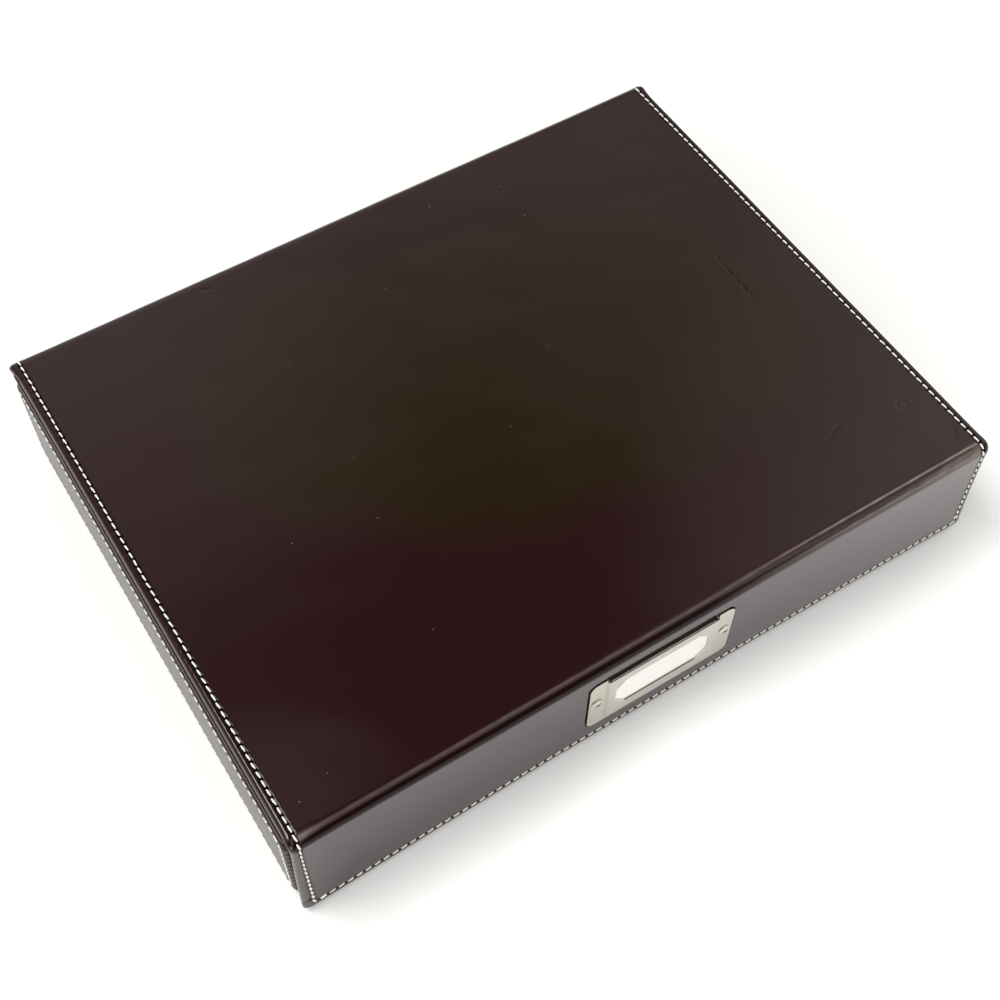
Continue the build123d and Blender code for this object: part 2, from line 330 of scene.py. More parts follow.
def round_corners(a, b, corner, sides):
    """Draws the grid's square corners in to a circle, where two of the named sides meet."""
    left, right, foot, head = a.min(), a.max(), b.min(), b.max()
    for sign_a, sign_b in ((-1, -1), (1, -1), (-1, 1), (1, 1)):
        meeting = {"left" if sign_a < 0 else "right", "foot" if sign_b < 0 else "head"}
        if corner <= 0 or not meeting <= sides:
            continue
        centre_a = (left if sign_a < 0 else right) - sign_a * corner
        centre_b = (foot if sign_b < 0 else head) - sign_b * corner
        p, q = sign_a * (a - centre_a) / corner, sign_b * (b - centre_b) / corner
        inside = (p > 0) & (q > 0)
        round_p = p * np.sqrt(1 - q.clip(0, 1) ** 2 / 2)
        round_q = q * np.sqrt(1 - p.clip(0, 1) ** 2 / 2)
        a = np.where(inside, centre_a + sign_a * corner * round_p, a)
        b = np.where(inside, centre_b + sign_b * corner * round_q, b)
    return a, b


def border(ids, sides):
    """Numbers of the grid points along the sides that have an edge, in order round the leaf, as
    open runs or as one loop."""
    left, foot, right, head = ids[0, ::-1], ids[:, 0], ids[-1], ids[::-1, -1]
    if sides == {"left", "right"}:
        return [left, right], False
    if sides == {"left", "right", "foot"}:
        return [np.concatenate([left, foot[1:], right[1:]])], False
    if sides == {"left", "right", "head"}:
        return [np.concatenate([right, head[1:], left[1:]])], False
    return [np.concatenate([left[:-1], foot[:-1], right[:-1], head[:-1]])], True


def grid_faces(ids):
    """The four-sided faces of a grid, from the numbers of its points."""
    corners = [ids[:-1, :-1], ids[1:, :-1], ids[1:, 1:], ids[:-1, 1:]]
    return np.stack(corners, axis=-1).reshape(-1, 4)


print("a grid of 3 by 2 points has", len(grid_faces(np.arange(6).reshape(3, 2))), "faces")

# %% [markdown]
# The mesh of a leaf is its face, then rings of points that go round the edge in a half circle, and
# two more rings for the hem. The pieces of leather also carry two attributes for the shader, which
# say at each point of the face how much shade and how much highlight are painted there.

# %% Mesh of a leaf
EDGE_STEPS = 7
HEM_STEP = 1.2


def mesh_piece(name, points, faces, smooth=True):
    """A mesh object from points in millimetres and faces that number four of them."""
    mesh = bpy.data.meshes.new(name)
    mesh.from_pydata((points * MM).tolist(), [], faces.tolist())
    mesh.polygons.foreach_set("use_smooth", [smooth] * len(mesh.polygons))
    mesh.update()
    piece = bpy.data.objects.new(name, mesh)
    bpy.context.scene.collection.objects.link(piece)
    return piece


def leaf_mesh(name, a_lines, b_lines, thick, corner, sides, place, relief, pull, shade=None, painted_highlight=None):
    """A face with round edges on the named sides. place turns (a, b, depth) into millimetres."""
    edge = thick / 2
    grid_a, grid_b = np.meshgrid(a_lines, b_lines, indexing="ij")
    grid_a, grid_b = round_corners(grid_a, grid_b, corner - edge, sides)
    ids = np.arange(grid_a.size).reshape(grid_a.shape)
    points = [place(grid_a, grid_b, -relief(grid_a, grid_b)).reshape(-1, 3)]
    faces = [grid_faces(ids)]
    count = grid_a.size
    runs, closed = border(ids, sides)
    for run in runs:
        a0, b0 = grid_a.ravel()[run], grid_b.ravel()[run]
        if closed:
            step_a, step_b = [np.roll(c, -1) - np.roll(c, 1) for c in (a0, b0)]
        else:
            step_a, step_b = np.gradient(a0), np.gradient(b0)
        length = np.hypot(step_a, step_b)
        out_a, out_b = step_b / length, -step_a / length
        if not closed:
            out_b[[0, -1]] = 0.0
            out_a[[0, -1]] = np.sign(out_a[[0, -1]])
        drawn, height = pull(a0, b0), relief(a0, b0)
        rings = [run]
        for k in range(1, EDGE_STEPS + 3):
            turn = pi * min(k, EDGE_STEPS) / EDGE_STEPS
            out = (edge - drawn) * np.sin(turn) - HEM_STEP * max(k - EDGE_STEPS, 0)
            depth = edge * (1 - np.cos(turn)) - height * (1 + np.cos(turn)) / 2
            points.append(place(a0 + out_a * out, b0 + out_b * out, depth))
            rings.append(np.arange(len(run)) + count)
            count += len(run)
        rings = np.stack(rings)
        if closed:
            rings = np.column_stack([rings, rings[:, 0]])
        faces.append(grid_faces(rings))
    piece = mesh_piece(name, np.concatenate(points), np.concatenate(faces))
    # Two attributes: how much shade and how much highlight are painted at each point of the face.
    for title, amount in (("painted_shade", shade), ("highlight_and_rub", painted_highlight)):
        layer = piece.data.attributes.new(title, "FLOAT", "POINT")
        if amount:
            values = np.zeros(len(piece.data.vertices))
            values[: grid_a.size] = amount(grid_a, grid_b).ravel()
            layer.data.foreach_set("value", values)
    return piece


print("an edge has", EDGE_STEPS, "steps and a hem of", 2 * HEM_STEP, "mm")

# %% [markdown]
# The finishes come next. Every colour below is written as it would be picked from a photograph, in
# sRGB, and one function turns it to the linear values that the shader works in. One small function
# adds a node, sets it and links it. It leaves the setting to a second one, which also sets and
# links the nodes that a new material brings with it.

# %% Colour and node helpers
def linear(hex_colour):
    parts = [int(hex_colour[k : k + 2], 16) / 255 for k in (1, 3, 5)]
    parts = [c / 12.92 if c <= 0.04045 else ((c + 0.055) / 1.055) ** 2.4 for c in parts]
    return (*parts, 1.0)


def feed(material, node, links=None, **settings):
    """Sets a node. Settings name its properties, or its sockets by their label. Links give a
    socket a source: another node's socket, a node for its first socket, or a plain value."""
    for name, value in settings.items():
        if name in node.bl_rna.properties:
            setattr(node, name, value)
        else:
            node.inputs[name.replace("_", " ")].default_value = value
    for socket, source in (links or {}).items():
        if isinstance(source, bpy.types.Node):
            source = source.outputs[0]
        if isinstance(source, bpy.types.NodeSocket):
            material.node_tree.links.new(source, node.inputs[socket])
        else:
            node.inputs[socket].default_value = source
    return node


def add(material, kind, links=None, ramp=(), **settings):
    """A new node of that kind, set and linked. A ramp is two pairs of a place and a colour."""
    node = material.node_tree.nodes.new("ShaderNode" + kind)
    for stop, (position, colour) in zip(node.color_ramp.elements if ramp else (), ramp):
        stop.position, stop.color = position, linear(colour)
    return feed(material, node, links, **settings)


def new_material(name):
    """A material with its shader, and the place on the object, in metres."""
    material = bpy.data.materials.new(name)
    material.use_nodes = True
    shader = material.node_tree.nodes["Principled BSDF"]
    return material, shader, add(material, "TexCoord").outputs["Object"]


print("dark brown, linear:", [round(c, 4) for c in linear("#322223")[:3]])

# %% [markdown]
# The cover is chrome-tanned cowhide with a glazed pigment finish: a smooth, hard gloss coat over a
# fine pore grain. The coat mirrors whatever is bright round the box, so the leather looks nearly
# black from above and pale grey at a glancing angle. All of the gloss is in the coat, and the
# pigment under it is matt. The pigment isn't even: it is an olive brown in the middle of the lid,
# where hands and light have faded it, and red-brown round it. The grain is drawn at 0.7 mm,
# coarser than real pores, so that it still shows. A few specks of dust lie on it.
#
# Two attributes of the mesh paint light and shade into the finish. One is high along the thread,
# in the needle holes, along the frame's edge and in a band on the front fold, where it paints shade:
# there the colour is near black and dull. The other is high on the ridges of the front fold, where
# it paints highlights in the colour of bare leather.

# %% Glazed cowhide
def glazed_cowhide(name, coat):
    material, shader, place = new_material(name)
    faded_oval = add(
        material,
        "Mapping",
        {"Vector": place},
        vector_type="TEXTURE",
        Location=(0.022, 0.016, 0.06),
        Rotation=(0, 0, -0.4),
        Scale=(0.142, 0.084, 0.1),
    )
    from_middle = add(material, "VectorMath", {0: faded_oval}, operation="LENGTH").outputs["Value"]
    waver = add(material, "TexNoise", {"Vector": place}, Scale=11.0, Detail=5.0, Roughness=0.6)
    drift = add(material, "Math", {0: waver, 1: 0.9, 2: from_middle}, operation="MULTIPLY_ADD")
    half = add(material, "Math", {0: drift, 1: 0.5}, operation="MULTIPLY")
    patches = add(material, "ValToRGB", {"Fac": half}, ramp=((0.63, "#241909"), (0.79, "#271012")))

    dust = add(material, "TexVoronoi", {"Vector": place}, Scale=1 / (7.0 * MM))
    chosen = add(material, "SeparateColor", {"Color": dust.outputs["Color"]})
    dust_size = add(material, "MapRange", {"Value": chosen}, From_Min=0.72, To_Max=0.055)
    speck = add(material, "Math", {0: dust, 1: dust_size}, operation="LESS_THAN")
    dusty = add(material, "MixRGB", {"Fac": speck, "Color1": patches}, Color2=linear("#6d5a50"))

    # This attribute paints a pale bare-leather colour: painted highlights on the front fold's ridges.
    highlight_and_rub = add(material, "Attribute", attribute_name="highlight_and_rub").outputs["Fac"]
    with_painted_highlight = add(material, "MixRGB", {"Fac": highlight_and_rub, "Color1": dusty}, Color2=linear("#a5938a"))
    # This attribute paints a near-black colour without coat: painted shade by the thread, frame and
    # fold.
    painted_shade = add(material, "Attribute", attribute_name="painted_shade").outputs["Fac"]
    colour = add(material, "MixRGB", {"Fac": painted_shade, "Color1": with_painted_highlight}, Color2=linear("#0a0505"))
    gloss = add(material, "MapRange", {"Value": painted_shade}, To_Min=coat, To_Max=0.0)

    smears = add(material, "TexNoise", {"Vector": place}, Scale=14.0, Detail=4.0, Roughness=0.6)
    roughness = add(material, "MapRange", {"Value": smears}, To_Min=0.24, To_Max=0.38)
    pores = add(material, "TexVoronoi", {"Vector": place}, Scale=1 / (0.7 * MM))
    creases = add(material, "TexNoise", {"Vector": place}, Scale=1 / (2.4 * MM), Detail=5.0)
    grain = add(material, "MixRGB", {"Color1": pores, "Color2": creases}, Fac=0.55)
    bump = add(material, "Bump", {"Height": grain}, Strength=0.1, Distance=0.1 * MM)

    feed(material, shader, {"Base Color": colour, "Roughness": roughness, "Coat Weight": gloss})
    feed(material, shader, {"Normal": bump, "Coat Normal": bump}, Coat_Roughness=0.08, Coat_IOR=1.5)
    feed(material, shader, IOR=1.5, Specular_IOR_Level=0.0)
    return material


cowhide = glazed_cowhide("glazed cowhide", 1.0)
tray_cowhide = glazed_cowhide("rubbed cowhide", 0.5)
print(cowhide.name, len(cowhide.node_tree.nodes), "nodes")

# %% [markdown]
# The thread is waxed linen, two plies twisted together, off-white. Wax gives it a faint sheen. The
# twist is in the mesh, so the shader only adds fibres.

# %% Waxed linen thread
def waxed_linen():
    material, shader, place = new_material("waxed linen thread")
    fibres = add(material, "TexNoise", {"Vector": place}, Scale=1 / (0.25 * MM), Detail=2.0)
    tone = add(material, "ValToRGB", {"Fac": fibres}, ramp=((0, "#efe9df"), (1, "#fffdf8")))
    bump = add(material, "Bump", {"Height": fibres}, Strength=0.3, Distance=0.05 * MM)
    feed(material, shader, {"Base Color": tone, "Normal": bump}, Roughness=0.55, Sheen_Weight=0.2)
    return material


linen = waxed_linen()
print(linen.name)

# %% [markdown]
# The tray is lined with microfibre suede: a short, dense nap of dark brown fibres. It is matte, and
# it turns lighter at a glancing angle where the fibre tips catch light, which the sheen does.

# %% Microfibre suede
def microfibre_suede():
    material, shader, place = new_material("microfibre suede")
    nap = add(material, "TexNoise", {"Vector": place}, Scale=1 / (0.5 * MM), Detail=3.0)
    brushed = add(material, "TexNoise", {"Vector": place}, Scale=22.0, Detail=3.0)
    tone = add(material, "ValToRGB", {"Fac": brushed}, ramp=((0.35, "#3a2d29"), (0.68, "#493a35")))
    bump = add(material, "Bump", {"Height": nap}, Strength=0.5, Distance=0.15 * MM)
    feed(material, shader, {"Base Color": tone, "Normal": bump}, Roughness=0.95)
    feed(material, shader, Sheen_Weight=0.35, Sheen_Roughness=0.4)
    return material


suede = microfibre_suede()
print(suede.name)

# %% [markdown]
# The card frame is stamped from thin steel and nickel plated, then tumbled, which leaves a soft
# mirror with fine scratches in no one direction. Nickel is a slightly warm white metal. The screws
# are plated too, but they aren't tumbled and so stay brighter.

# %% Nickel plate
def nickel_plate(name, smooth, rough):
    material, shader, place = new_material(name)
    scuffed = add(material, "TexNoise", {"Vector": place}, Scale=1 / (0.8 * MM), Detail=6.0)
    roughness = add(material, "MapRange", {"Value": scuffed}, To_Min=smooth, To_Max=rough)
    tarnish = add(material, "TexNoise", {"Vector": place}, Scale=60.0, Detail=4.0)
    tone = add(material, "ValToRGB", {"Fac": tarnish}, ramp=((0, "#c0bbae"), (1, "#cfcac0")))
    feed(material, shader, {"Base Color": tone, "Roughness": roughness}, Metallic=1.0)
    return material


nickel = nickel_plate("tumbled nickel plate", 0.16, 0.32)
screw_nickel = nickel_plate("bright nickel plate", 0.06, 0.14)
print(nickel.name, "and", screw_nickel.name)

# %% [markdown]
# The card is plain white board paper, matte, with a faint fibre mottle. Inside the panels there is
# greyboard, pressed from waste paper, which shows only in cut-away views.

# %% Paper and greyboard
def pressed_paper(name, dark, pale, grain_mm):
    material, shader, place = new_material(name)
    fibres = add(material, "TexNoise", {"Vector": place}, Scale=1 / (grain_mm * MM), Detail=4.0)
    tone = add(material, "ValToRGB", {"Fac": fibres}, ramp=((0, dark), (1, pale)))
    bump = add(material, "Bump", {"Height": fibres}, Strength=0.15, Distance=0.03 * MM)
    feed(material, shader, {"Base Color": tone, "Normal": bump}, Roughness=0.85)
    return material


card_paper = pressed_paper("index card paper", "#fbf8f1", "#fffefa", 0.6)
greyboard = pressed_paper("greyboard", "#8b857d", "#a8a29a", 1.2)
print(card_paper.name, greyboard.name)

# %% [markdown]
# The leather isn't flat between its seams. The board makes slow waves in it, a crease runs along
# the right part of the front fold with fine ribs beside it, the frame presses a groove into the
# flap, and the lid has a few small scuffs and one ring. Each is a small function, and the relief of
# the cover is their sum. A sculpted mesh could show the same marks, but then they wouldn't follow
# the part when its size changes.

# %% Relief of the cover
frame_low, frame_high = box_mm("card_frame")
FRAME_CORNER = 3.5
FRAME_GROOVE, GROOVE_WIDTH = 0.3, 0.6
BOARD_WAVE, BOARD_WAVE_LENGTH = 0.10, 110
GLUE_WAVE, GLUE_WAVE_LENGTH = 0.03, 24
RIB_HEIGHT, RIB_PITCH = 0.03, 1.5
LEFT_DENT = 0.3
CREASE_FROM = 20.0
RIDGE_RUN = 0.7
# The crease of the front fold: how far round the fold, how wide and how high.
CREASE = [(RIDGE_RUN, 0.6, 0.2), (2.1, 0.6, -0.5), (4.1, 1.0, 0.14)]
# Scuffs on the lid: the place, the direction, the length and width, and the depth.
SCUFFS = [
    ((130.2, 15.8), 1.5, (1.5, 0.35), 0.16),
    ((129.7, 11.0), 1.6, (1.3, 0.35), 0.13),
    ((129.5, 5.5), 1.6, (1.8, 0.35), 0.17),
    ((129.4, 0.2), 1.65, (1.2, 0.35), 0.12),
    ((129.5, -5.2), 1.6, (1.6, 0.4), 0.16),
    ((129.7, -9.6), 1.4, (1.1, 0.4), 0.14),
    ((36.9, 14.4), 0.5, (2.2, 0.5), 0.12),
    ((155.9, -116.1), 0.9, (3.5, 0.6), 0.12),
    ((114.6, -87.4), 0.3, (4.5, 0.6), 0.06),
    ((-76.0, 121.3), -0.4, (2.5, 0.6), 0.1),
]
RING = (147.2, -92.3)
RING_RADIUS, RING_WIDTH, RING_DEPTH = 2.2, 0.5, 0.07
SPARE_HOLE = (2.1 - half_width, sheet_end - 8.5)
SPARE_HOLE_WIDTH, SPARE_HOLE_DEPTH = 0.8, 0.3
SIDE_PULL, FOOT_PULL = 0.03, 0.33


def from_frame(a, run):
    """Distance outside the card frame's edge, in mm."""
    height = flap_high[2] - (run - flap_start)
    middle = (frame_low + frame_high) / 2
    half = (frame_high - frame_low) / 2 - FRAME_CORNER
    beyond_a = np.clip(np.abs(a - middle[0]) - half[0], 0, None)
    beyond_z = np.clip(np.abs(height - middle[2]) - half[2], 0, None)
    return np.hypot(beyond_a, beyond_z) - FRAME_CORNER


def spare_hole(a, run):
    """A needle hole without thread, in the margin near the flap's lower left corner."""
    return bell(np.hypot(a - SPARE_HOLE[0], run - SPARE_HOLE[1]), 0, SPARE_HOLE_WIDTH)


def board_waves(a, run):
    """Slow waves and smaller ones on them, which fade out towards the thread."""
    away, _ = nearest_on_line(cover_line, a, run)
    waves = BOARD_WAVE * ripples(a, run, BOARD_WAVE_LENGTH, seed=4)
    waves += GLUE_WAVE * ripples(a, run, GLUE_WAVE_LENGTH, seed=9)
    return waves * rise(away, 2, 16)


def fold_creases(a, run):
    """The crease, a softer dent at the fold's left end, and fine ribs over the fold's middle."""
    round_fold = run - lid_end
    along = rise(a, CREASE_FROM, CREASE_FROM + 70) * rise(half_width - a, 6, 12)
    height = along * sum(high * bell(round_fold, at, wide) for at, wide, high in CREASE)
    height -= LEFT_DENT * bell(a, 3 - half_width, 9) * bell(round_fold, 2.0, 1.5)
    ribs = np.sin(a * 2 * pi / RIB_PITCH + 1.5 * np.sin(a / 7)) * (0.6 + 0.4 * np.sin(a / 13))
    on_fold = bell(round_fold, fold_length / 2, fold_length / 3)
    return height + RIB_HEIGHT * ribs * on_fold * rise(np.abs(a - 5), 90, 0)


def lid_marks(a, run):
    """Depth of the scuffs and of the ring."""
    y = lid_end - run + lid_low[1]
    depth = RING_DEPTH * bell(np.hypot(a - RING[0], y - RING[1]), RING_RADIUS, RING_WIDTH)
    for (scuff_x, scuff_y), turned, (length, width), deep in SCUFFS:
        aside, ahead = a - scuff_x, y - scuff_y
        u = aside * np.cos(turned) + ahead * np.sin(turned)
        v = ahead * np.cos(turned) - aside * np.sin(turned)
        depth += deep * bell(u, 0, length) * bell(v, 0, width)
    return depth


def cover_relief(a, run):
    height = sewn_relief(cover_line, a, run) + board_waves(a, run) + fold_creases(a, run)
    height -= lid_marks(a, run) + SPARE_HOLE_DEPTH * spare_hole(a, run)
    groove = FRAME_GROOVE * bell(from_frame(a, run), 0, GROOVE_WIDTH)
    return height - groove * (run > flap_start)


def cover_pull(a, run):
    """The thread draws the foot of the flap in more than the other edges."""
    at_foot = rise(run, sheet_end - 2.5, sheet_end - 1.9)
    return edge_pull(cover_line, a, run, SIDE_PULL + (FOOT_PULL - SIDE_PULL) * at_foot)


print("marks on the lid:", len(SCUFFS) + 1)

# %% [markdown]
# The cover's small forms get light and shade painted into their colour. A pale bare-leather colour
# is painted on the ridges of the front fold, most at its right end, as painted highlights. A dark,
# dull colour is painted in a band along the fold's left part, round the thread and along the frame's
# edge, as painted shade.

# %% Painted shade and highlights of the cover
# The share of the painted shade along the thread that is kept on the flap.
FLAP_SHADE_SHARE = 0.45
# How dark the painted shade band on the front fold is, how far round the fold, and how wide.
FOLD_SHADE, FOLD_SHADE_RUN, FOLD_SHADE_WIDTH = 0.6, 5.0, 2.0
FACET_RUN = 4.4


def painted_cover_shade(a, run):
    """Painted shade, dark and dull, 0 to 1: by the thread, by the frame, on the front fold, in the
    spare hole.
    """
    paler = (1 - FLAP_SHADE_SHARE) * rise(run, flap_start, flap_start + 6)
    sewn = painted_stitch_shade(cover_line, a, run) * (1 - paler)
    # A painted shadow: a dark, dull line along the frame's edge, where the plate shades the leather.
    painted_frame_shadow = bell(from_frame(a, run), 0, 0.55) * (run > flap_start)
    # Painted shade: a dark, dull band on the left part of the front fold, where its round shows shade.
    painted_fold_shade = FOLD_SHADE * np.exp(-(((run - lid_end - FOLD_SHADE_RUN) / FOLD_SHADE_WIDTH) ** 4))
    painted_fold_shade *= rise(a, CREASE_FROM + 60, CREASE_FROM)
    # The spare needle hole is painted dark, for the shade inside it.
    return np.max([sewn, painted_frame_shadow, painted_fold_shade, spare_hole(a, run)], axis=0)


def painted_fold_highlight(a, run):
    """Painted highlight, 0 to 1, in a pale colour on the front fold's ridges, most at its right end."""
    round_fold = run - lid_end
    along = rise(a, CREASE_FROM, CREASE_FROM + 80)
    line = 0.75 * bell(round_fold, RIDGE_RUN, 0.45)
    facet = 0.5 * bell(round_fold, FACET_RUN, 0.6 + 2.0 * rise(a, 100, 162) ** 2)
    near_left = rise(a + half_width, 21.5, 3.5) ** 2
    left_line = bell(round_fold, 1.4 + 0.9 * near_left, 0.45 + 1.3 * near_left)
    left = (0.22 + 0.2 * near_left) * left_line
    patchy = 0.8 + 0.2 * np.sin(a / 5.3) * np.sin(a / 2.1 + run)
    inside = rise(half_width - np.abs(a), 3.4, 4.9)
    return np.clip((along * (line + facet) + (1 - along) * left) * patchy * inside, 0, 1)


fold_right = np.array([half_width - 10]), np.array([lid_end + RIDGE_RUN])
print("rubbed at the fold's right end:", round(float(painted_fold_highlight(*fold_right)[0]), 2))

# %% [markdown]
# Now the cover is cut into the five zones that move apart: spine, rear fold, lid, front fold and
# flap. Each zone is a window of the same sheet. A fold zone reaches a little way onto the flat
# panels beside it, so that the joins lie where the leather is flat and can't be seen. Only the ends
# of the sheet have an edge across it. The lid is large and mostly plain, so its grid is fine only
# near the thread and across its marks.

# %% Cut the cover into its zones
OVERLAP = 5.0
COVER_GRID = 0.45
COVER_CORNER = 2.4
MARKED = [(-80.0, -72.0), (33.5, 40.5), (109.5, 151.0)]
both = {"left", "right"}
cuts = [0, spine_end - OVERLAP, lid_start + OVERLAP, lid_end - OVERLAP, flap_start + OVERLAP, sheet_end]
zones = list(zip(("spine", "rear_fold", "lid", "front_fold", "flap"), cuts, cuts[1:]))


def cover_zone(zone, start, end):
    sides = both | {"spine": {"foot"}, "flap": {"head"}}.get(zone, set())
    edge = cover_thick / 2
    left, right = edge - half_width, half_width - edge
    a_lines = np.linspace(left, right, 2 * ceil(half_width / COVER_GRID) + 1)
    if zone == "lid":
        a_lines = grid_lines(left, right, 0.4, 4.0, MARKED)
    low = start + edge if "foot" in sides else start
    high = end - edge if "head" in sides else end
    b_lines = np.linspace(low, high, ceil((high - low) / COVER_GRID) + 1)
    shape = (cover_thick, COVER_CORNER, sides, cover_place, cover_relief, cover_pull)
    # The cover carries painted shade and painted highlights as attributes.
    piece = leaf_mesh(zone + "_cover", a_lines, b_lines, *shape, painted_cover_shade, painted_fold_highlight)
    piece.data.flip_normals()
    print(piece.name, len(piece.data.vertices), "vertices")
    return piece


covers = {zone: cover_zone(zone, start, end) for zone, start, end in zones}

# %% [markdown]
# The tray's sides are leaves too, with thread all the way round. They are sewn before they are
# joined to the front and back, so both long edges and both ends carry stitches.

# %% Tray sides
wall_low, wall_high = box_mm("left_wall_leather")
WALL_MARGIN, WALL_GRID, WALL_CORNER = 3.4, 0.5, 8.0
WALL_WAVE, WALL_WAVE_LENGTH, WALL_PULL = 0.08, 80, 0.25
all_round = both | {"foot", "head"}
wall_line = stitch_line(
    wall_low[1] + WALL_MARGIN,
    wall_high[1] - WALL_MARGIN,
    wall_low[2] + WALL_MARGIN,
    wall_high[2] - WALL_MARGIN,
    corner=6.0,
)


def wall_place(sign):
    """Places points on the left wall's outer face, or with a sign of 1 on the right wall's."""
    return lambda a, b, depth: np.stack([sign * (-wall_low[0] - depth), a, b], axis=-1)


def wall_relief(a, b):
    away, _ = nearest_on_line(wall_line, a, b)
    waves = WALL_WAVE * ripples(a, b, WALL_WAVE_LENGTH, seed=21)
    return sewn_relief(wall_line, a, b) + waves * rise(away, 2, 14)


def side_wall(name, sign):
    thick, length, height = wall_high - wall_low
    edge = thick / 2
    piece = leaf_mesh(
        name,
        np.linspace(wall_low[1] + edge, wall_high[1] - edge, ceil(length / WALL_GRID)),
        np.linspace(wall_low[2] + edge, wall_high[2] - edge, ceil(height / WALL_GRID)),
        thick,
        WALL_CORNER,
        all_round,
        wall_place(sign),
        wall_relief,
        lambda a, b: edge_pull(wall_line, a, b, WALL_PULL),
        # Painted shade along the wall's thread and in its needle holes.
        lambda a, b: painted_stitch_shade(wall_line, a, b),
    )
    if sign < 0:
        piece.data.flip_normals()
    print(name, len(piece.data.vertices), "vertices")
    return piece


wall_sides = {"left_wall": -1, "right_wall": 1}
walls = {wall: side_wall(wall + "_cover", sign) for wall, sign in wall_sides.items()}

# %% [markdown]
# A stitch is a short length of twisted thread that rises out of one needle hole and dives into the
# next, leaning a little, as saddle stitches do. One stitch is a tube with two lobes in section
# that turn along it. It is copied along the line at every pitch, and each copy is turned and sized
# a little differently, because hand sewing isn't even. A curve with a bevel would give a plain
# round thread, without the plies.

# %% One stitch
THREAD_RADIUS = 0.36
THREAD_LIFT = 0.24
FLATNESS = 0.9
PLY, TWIST = 0.13, 2.2
SIDE_LEAN, FOOT_LEAN = -0.09, -0.26
UNEVENNESS = 0.03


def stitch_shape(length):
    """Points of one stitch: x along, y across, z up from the leather, and its faces."""
    stations = np.sin(np.linspace(-pi / 2, pi / 2, 13))
    ring = np.linspace(0, 2 * pi, 9)[:-1]
    points = []
    for t in stations:
        lift = THREAD_LIFT + 0.04 * t**2 - abs(t) ** 9
        radius = THREAD_RADIUS * (1 - 0.35 * abs(t) ** 8)
        for angle in ring:
            ply = radius * (1 + PLY * np.cos(2 * (angle - TWIST * t)))
            up = lift + ply * np.sin(angle) * FLATNESS
            points.append((t * length / 2, ply * np.cos(angle), up))
    ids = np.arange(len(points)).reshape(len(stations), len(ring))
    return np.array(points), grid_faces(np.column_stack([ids, ids[:, 0]]).T)


def line_point(line, where):
    """The point of a line at a length along it, and the line's direction there."""
    points, along = line
    k = min(np.searchsorted(along, where % along[-1], side="right") - 1, len(points) - 2)
    share = (where % along[-1] - along[k]) / max(along[k + 1] - along[k], 1e-9)
    step = points[k + 1] - points[k]
    return points[k] + share * step, step / np.hypot(*step)


def stitches(name, line, place, low, high, side_reach=0.8, foot_reach=0.8, locked=()):
    """All stitches of a line whose middle lies between low and high, as one mesh. The reaches
    are the share of the pitch that a stitch covers, on the upright sides and along the foot.
    A stitch near a locked spot is sewn twice, which is how the thread's end is made fast."""
    pitch = stitch_pitch(line)
    rng = np.random.default_rng(len(name))
    all_points, all_faces = [], []
    for k in range(round(line[1][-1] / pitch)):
        middle, direction = line_point(line, (k + 0.5) * pitch)
        if not low <= middle[1] < high:
            continue
        along_foot = abs(direction[0]) > 0.7
        lean = FOOT_LEAN if along_foot else SIDE_LEAN
        shape, shape_faces = stitch_shape(pitch * (foot_reach if along_foot else side_reach))
        angle = atan2(direction[1], direction[0]) + lean + rng.normal(0, UNEVENNESS)
        along_a, along_b = np.cos(angle), np.sin(angle)
        size = rng.normal(1, UNEVENNESS)
        twice = any(np.hypot(*(middle - spot)) < pitch / 2 for spot in locked)
        for aside in (-THREAD_RADIUS * 1.1, THREAD_RADIUS * 1.1) if twice else (0.0,):
            across = shape[:, 1] + aside
            a = middle[0] + shape[:, 0] * along_a * size - across * along_b
            b = middle[1] + shape[:, 0] * along_b * size + across * along_a
            all_faces.append(shape_faces + len(shape) * len(all_points))
            all_points.append(place(a, b, CHANNEL_DEPTH * 0.9 - shape[:, 2]))
    piece = mesh_piece(name, np.concatenate(all_points), np.concatenate(all_faces))
    print(name, len(all_points), "stitches")
    return piece


print("one stitch has", len(stitch_shape(PITCH)[0]), "points")

# %% [markdown]
# The cover's thread is one line round the whole sheet. It is cut into the same five zones as the
# leather, so that each length of thread moves with the leather under it. The flap's stitches are
# shorter, and at two places near its corners a stitch is sewn twice to lock the thread.

# %% Thread round the cover
foot_run = sheet_end - FOOT_MARGIN
flap_sewing = {
    "side_reach": 0.6,
    "foot_reach": 0.74,
    "locked": [(-half_width + 7.2, foot_run), (half_width - 3.9, foot_run - 5.0)],
}
threads = {}
for zone, start, end in zones:
    special = flap_sewing if zone == "flap" else {}
    threads[zone] = stitches(zone + "_thread", cover_line, cover_place, start, end, **special)

# %% [markdown]
# The thread of a side wall goes all the way round it and stays with the tray. Its stitches are
# short, with plain leather between them.

# %% Thread round the tray's sides
for wall, sign in wall_sides.items():
    threads[wall] = stitches(wall + "_thread", wall_line, wall_place(sign), 0, wall_high[2], 0.6)

# %% [markdown]
# Under the lid's cover lies the lining leaf, a thinner board in the same leather. It stands out a
# millimetre past the cover all round, so from the side the lid shows two round edges with a dark
# line between them. The flap has a lining leaf too, and it bends with the flap, as does the board
# inside.

# %% Lining leaves
LINING_WAVE, LINING_WAVE_LENGTH = 0.05, 70
SOFT_PULL, UNEVEN_PULL, UNEVEN_LENGTH = 0.12, 0.1, 30


